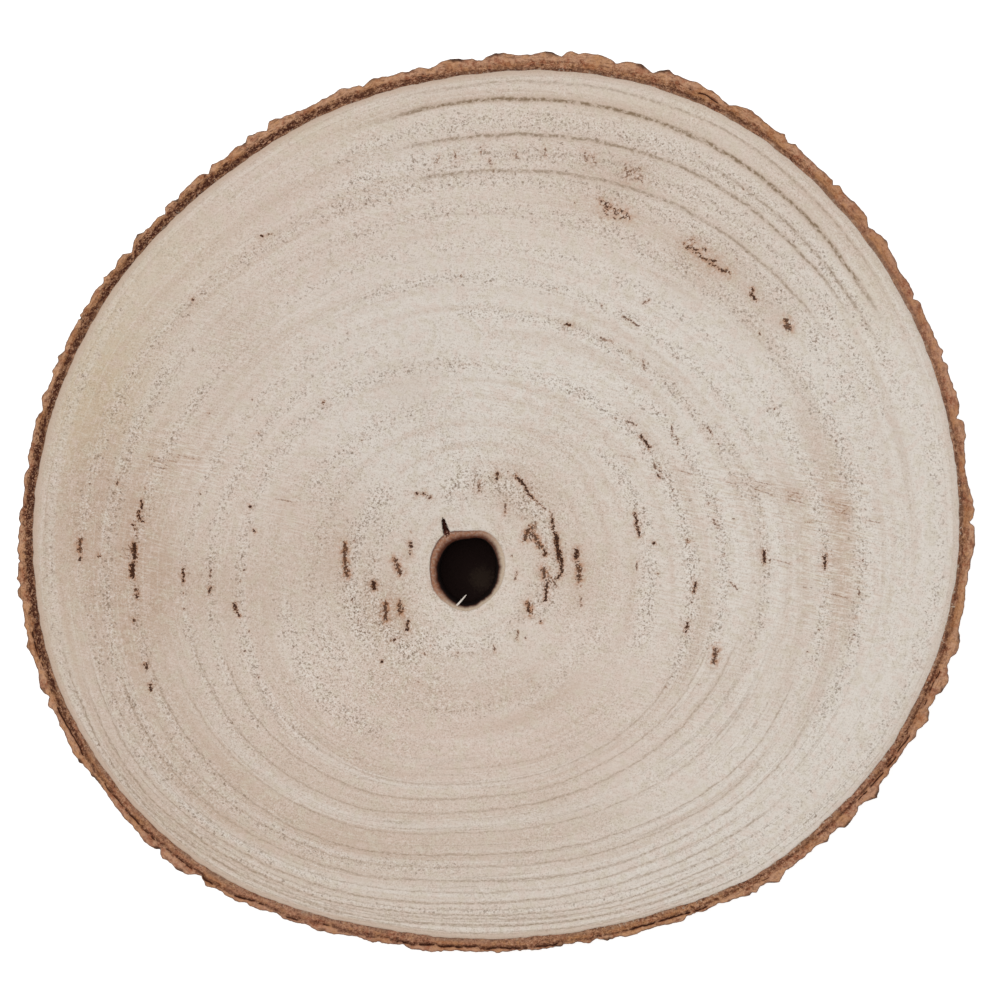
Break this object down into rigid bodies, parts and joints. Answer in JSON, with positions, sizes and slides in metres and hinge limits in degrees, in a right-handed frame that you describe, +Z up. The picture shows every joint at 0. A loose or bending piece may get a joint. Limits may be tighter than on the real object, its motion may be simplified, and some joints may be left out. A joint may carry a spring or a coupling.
{
  "type": "wood slice",
  "caption": "Round slice sawn across a small log, bark left on its rim, with a hollow pith off its middle and flat sawn faces above and below.",
  "frame": {"origin": "on the underside, under the middle of the slice's bounding box", "axes": "+Z up, along the trunk; +X along the slice's longest width, to the right as seen from above; +Y to the top of that view"},
  "size_m": [0.3004, 0.2828, 0.025],
  "materials": {
    "wood": "dry, rough-sawn end grain, matt",
    "bark": "dry, flaky brown bark, matt"
  },
  "bodies": {
    "root": {"wood_slice": "wood"}
  },
  "joints": []
}
